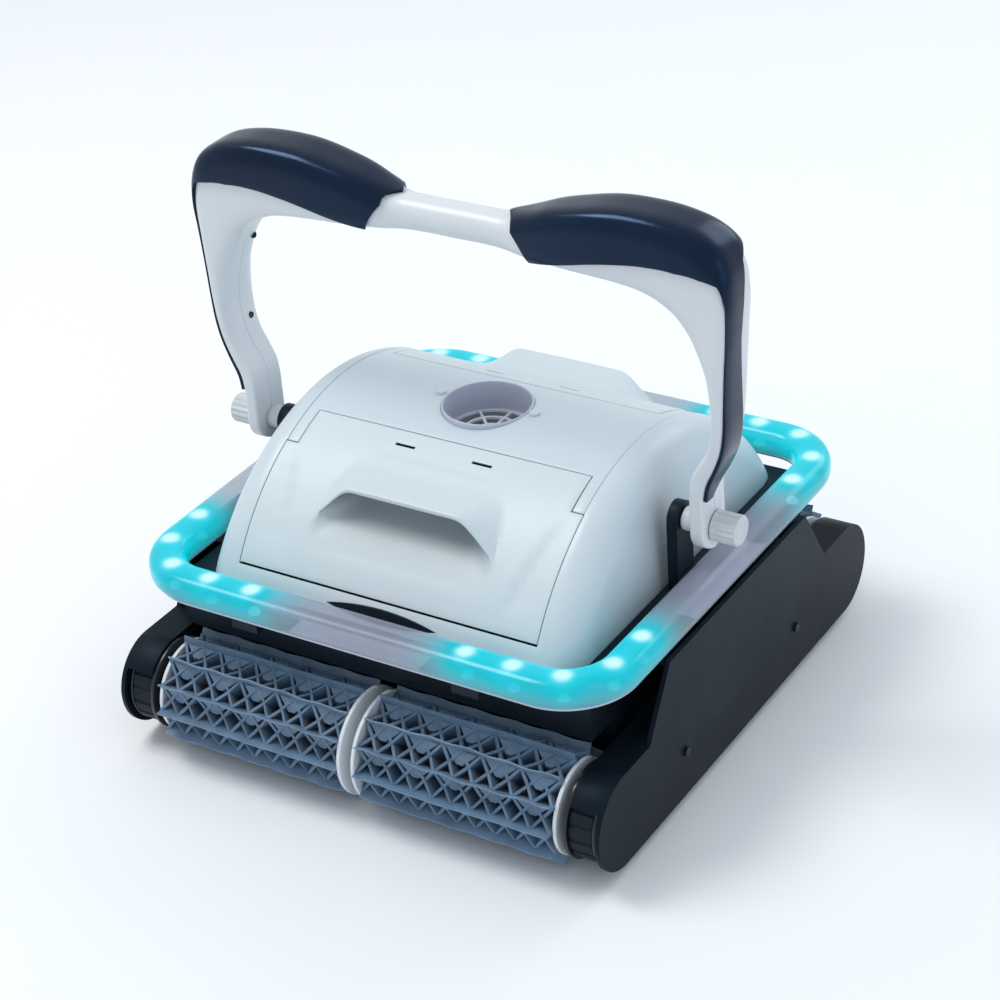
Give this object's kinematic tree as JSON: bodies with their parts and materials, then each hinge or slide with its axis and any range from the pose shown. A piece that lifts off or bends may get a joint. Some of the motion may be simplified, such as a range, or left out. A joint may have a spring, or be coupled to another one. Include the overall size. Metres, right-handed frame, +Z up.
{
  "type": "robotic pool cleaner",
  "caption": "Tracked robotic pool cleaner with finned scrubbing rollers, a domed body with filter doors, a glowing light ring and a tilting float handle.",
  "frame": {"origin": "on the floor under the middle of the cleaner", "axes": "+X across the width to the right as seen from the front, -Y towards the front brushes, +Z up"},
  "size_m": [0.481, 0.475, 0.4602],
  "materials": {
    "body_white": "gloss",
    "handle_grey": "satin",
    "pin_white": "satin",
    "grip_navy": "gloss",
    "ring_clear": "gloss",
    "ring_strip": "matte",
    "lamp_cyan": "gloss",
    "board_green": "matte",
    "foam_grey": "matte",
    "screw_steel": "satin",
    "axle_steel": "satin",
    "seal_rubber": "matte",
    "belt_rubber": "matte",
    "motor_metal": "satin",
    "mesh_fabric": "matte",
    "filter_plastic": "satin",
    "impeller_plastic": "satin",
    "bush_plastic": "satin",
    "brush_blue": "satin",
    "core_white": "satin",
    "wheel_dark": "gloss",
    "chassis_dark": "satin"
  },
  "bodies": {
    "chassis": {"axle_bushes": "bush_plastic", "axle_front": "axle_steel", "axle_hangers": "chassis_dark", "axle_rear": "axle_steel", "base_cover": "chassis_dark", "body_shell": "body_white", "cable_gland": "chassis_dark", "chassis_tub": "chassis_dark", "drive_motors": "motor_metal", "filter_basket_front": "filter_plastic", "filter_basket_rear": "filter_plastic", "filter_meshes": "mesh_fabric", "float_blocks": "foam_grey", "flow_duct": "pin_white", "hinge_pins": "screw_steel", "light_boards": "board_green", "light_lenses": "lamp_cyan", "light_ring": "ring_clear", "motor_housing": "chassis_dark", "outlet_guard": "pin_white", "panel_screws": "screw_steel", "pivot_pins": "pin_white", "pivot_uprights": "chassis_dark", "pump_motor": "motor_metal", "ring_base": "ring_strip", "ring_brackets": "chassis_dark", "shaft_seal": "seal_rubber", "shell_screws": "screw_steel", "side_frame_left": "chassis_dark", "side_frame_right": "chassis_dark", "side_panel_left": "chassis_dark", "side_panel_right": "chassis_dark", "top_bridge": "body_white", "track_belt_left": "belt_rubber", "track_belt_right": "belt_rubber"},
    "handle": {"handle_front_shell": "handle_grey", "handle_rear_shell": "handle_grey", "handle_foam": "foam_grey", "grip_left": "grip_navy", "grip_right": "grip_navy"},
    "door_front": {"front_door": "body_white"},
    "door_rear": {"rear_door": "body_white"},
    "pump_rotor": {"impeller": "impeller_plastic", "pump_shaft": "axle_steel"},
    "driver_left": {"drive_wheel_left": "wheel_dark"},
    "driver_right": {"drive_wheel_right": "wheel_dark"},
    "flap_front": {"intake_flap_front": "chassis_dark"},
    "flap_rear": {"intake_flap_rear": "chassis_dark"},
    "roller_front_left": {"wheel_front_left": "wheel_dark", "roller_core_front_left": "core_white", "brush_front_left": "brush_blue"},
    "roller_front_right": {"wheel_front_right": "wheel_dark", "roller_core_front_right": "core_white", "brush_front_right": "brush_blue"},
    "roller_rear_left": {"wheel_rear_left": "wheel_dark", "roller_core_rear_left": "core_white", "brush_rear_left": "brush_blue"},
    "roller_rear_right": {"wheel_rear_right": "wheel_dark", "roller_core_rear_right": "core_white", "brush_rear_right": "brush_blue"}
  },
  "joints": [
    {"name": "handle_tilt", "type": "hinge", "parent": "chassis", "child": "handle", "pos_m": [0, -0.022, 0.207], "axis": [1, 0, 0], "range_deg": [-60, 60]},
    {"name": "front_door_hinge", "type": "hinge", "parent": "chassis", "child": "door_front", "pos_m": [0, -0.059, 0.23955], "axis": [-1, 0, 0], "range_deg": [0, 95]},
    {"name": "rear_door_hinge", "type": "hinge", "parent": "chassis", "child": "door_rear", "pos_m": [0, 0.059, 0.23955], "axis": [1, 0, 0], "range_deg": [0, 95]},
    {"name": "pump_spin", "type": "hinge", "parent": "chassis", "child": "pump_rotor", "pos_m": [0, 0, 0.2], "axis": [0, 0, 1], "continuous": true},
    {"name": "front_flap_hinge", "type": "hinge", "parent": "chassis", "child": "flap_front", "pos_m": [0, -0.082, 0.0198], "axis": [-1, 0, 0], "range_deg": [0, 60]},
    {"name": "rear_flap_hinge", "type": "hinge", "parent": "chassis", "child": "flap_rear", "pos_m": [0, 0.082, 0.0198], "axis": [1, 0, 0], "range_deg": [0, 60]},
    {"name": "roller_front_left_spin", "type": "hinge", "parent": "chassis", "child": "roller_front_left", "pos_m": [0, -0.19, 0.048], "axis": [1, 0, 0], "continuous": true},
    {"name": "roller_rear_left_spin", "type": "hinge", "parent": "chassis", "child": "roller_rear_left", "pos_m": [0, 0.19, 0.048], "axis": [1, 0, 0], "continuous": true},
    {"name": "driver_left_spin", "type": "hinge", "parent": "chassis", "child": "driver_left", "pos_m": [0, 0, 0.048], "axis": [1, 0, 0], "continuous": true},
    {"name": "roller_front_right_spin", "type": "hinge", "parent": "chassis", "child": "roller_front_right", "pos_m": [0, -0.19, 0.048], "axis": [1, 0, 0], "continuous": true},
    {"name": "roller_rear_right_spin", "type": "hinge", "parent": "chassis", "child": "roller_rear_right", "pos_m": [0, 0.19, 0.048], "axis": [1, 0, 0], "continuous": true},
    {"name": "driver_right_spin", "type": "hinge", "parent": "chassis", "child": "driver_right", "pos_m": [0, 0, 0.048], "axis": [1, 0, 0], "continuous": true}
  ],
  "couplings": [
    {"joint": "roller_rear_left_spin", "follows": "roller_front_left_spin", "ratio": 1},
    {"joint": "driver_left_spin", "follows": "roller_front_left_spin", "ratio": 1},
    {"joint": "roller_rear_right_spin", "follows": "roller_front_right_spin", "ratio": 1},
    {"joint": "driver_right_spin", "follows": "roller_front_right_spin", "ratio": 1}
  ]
}
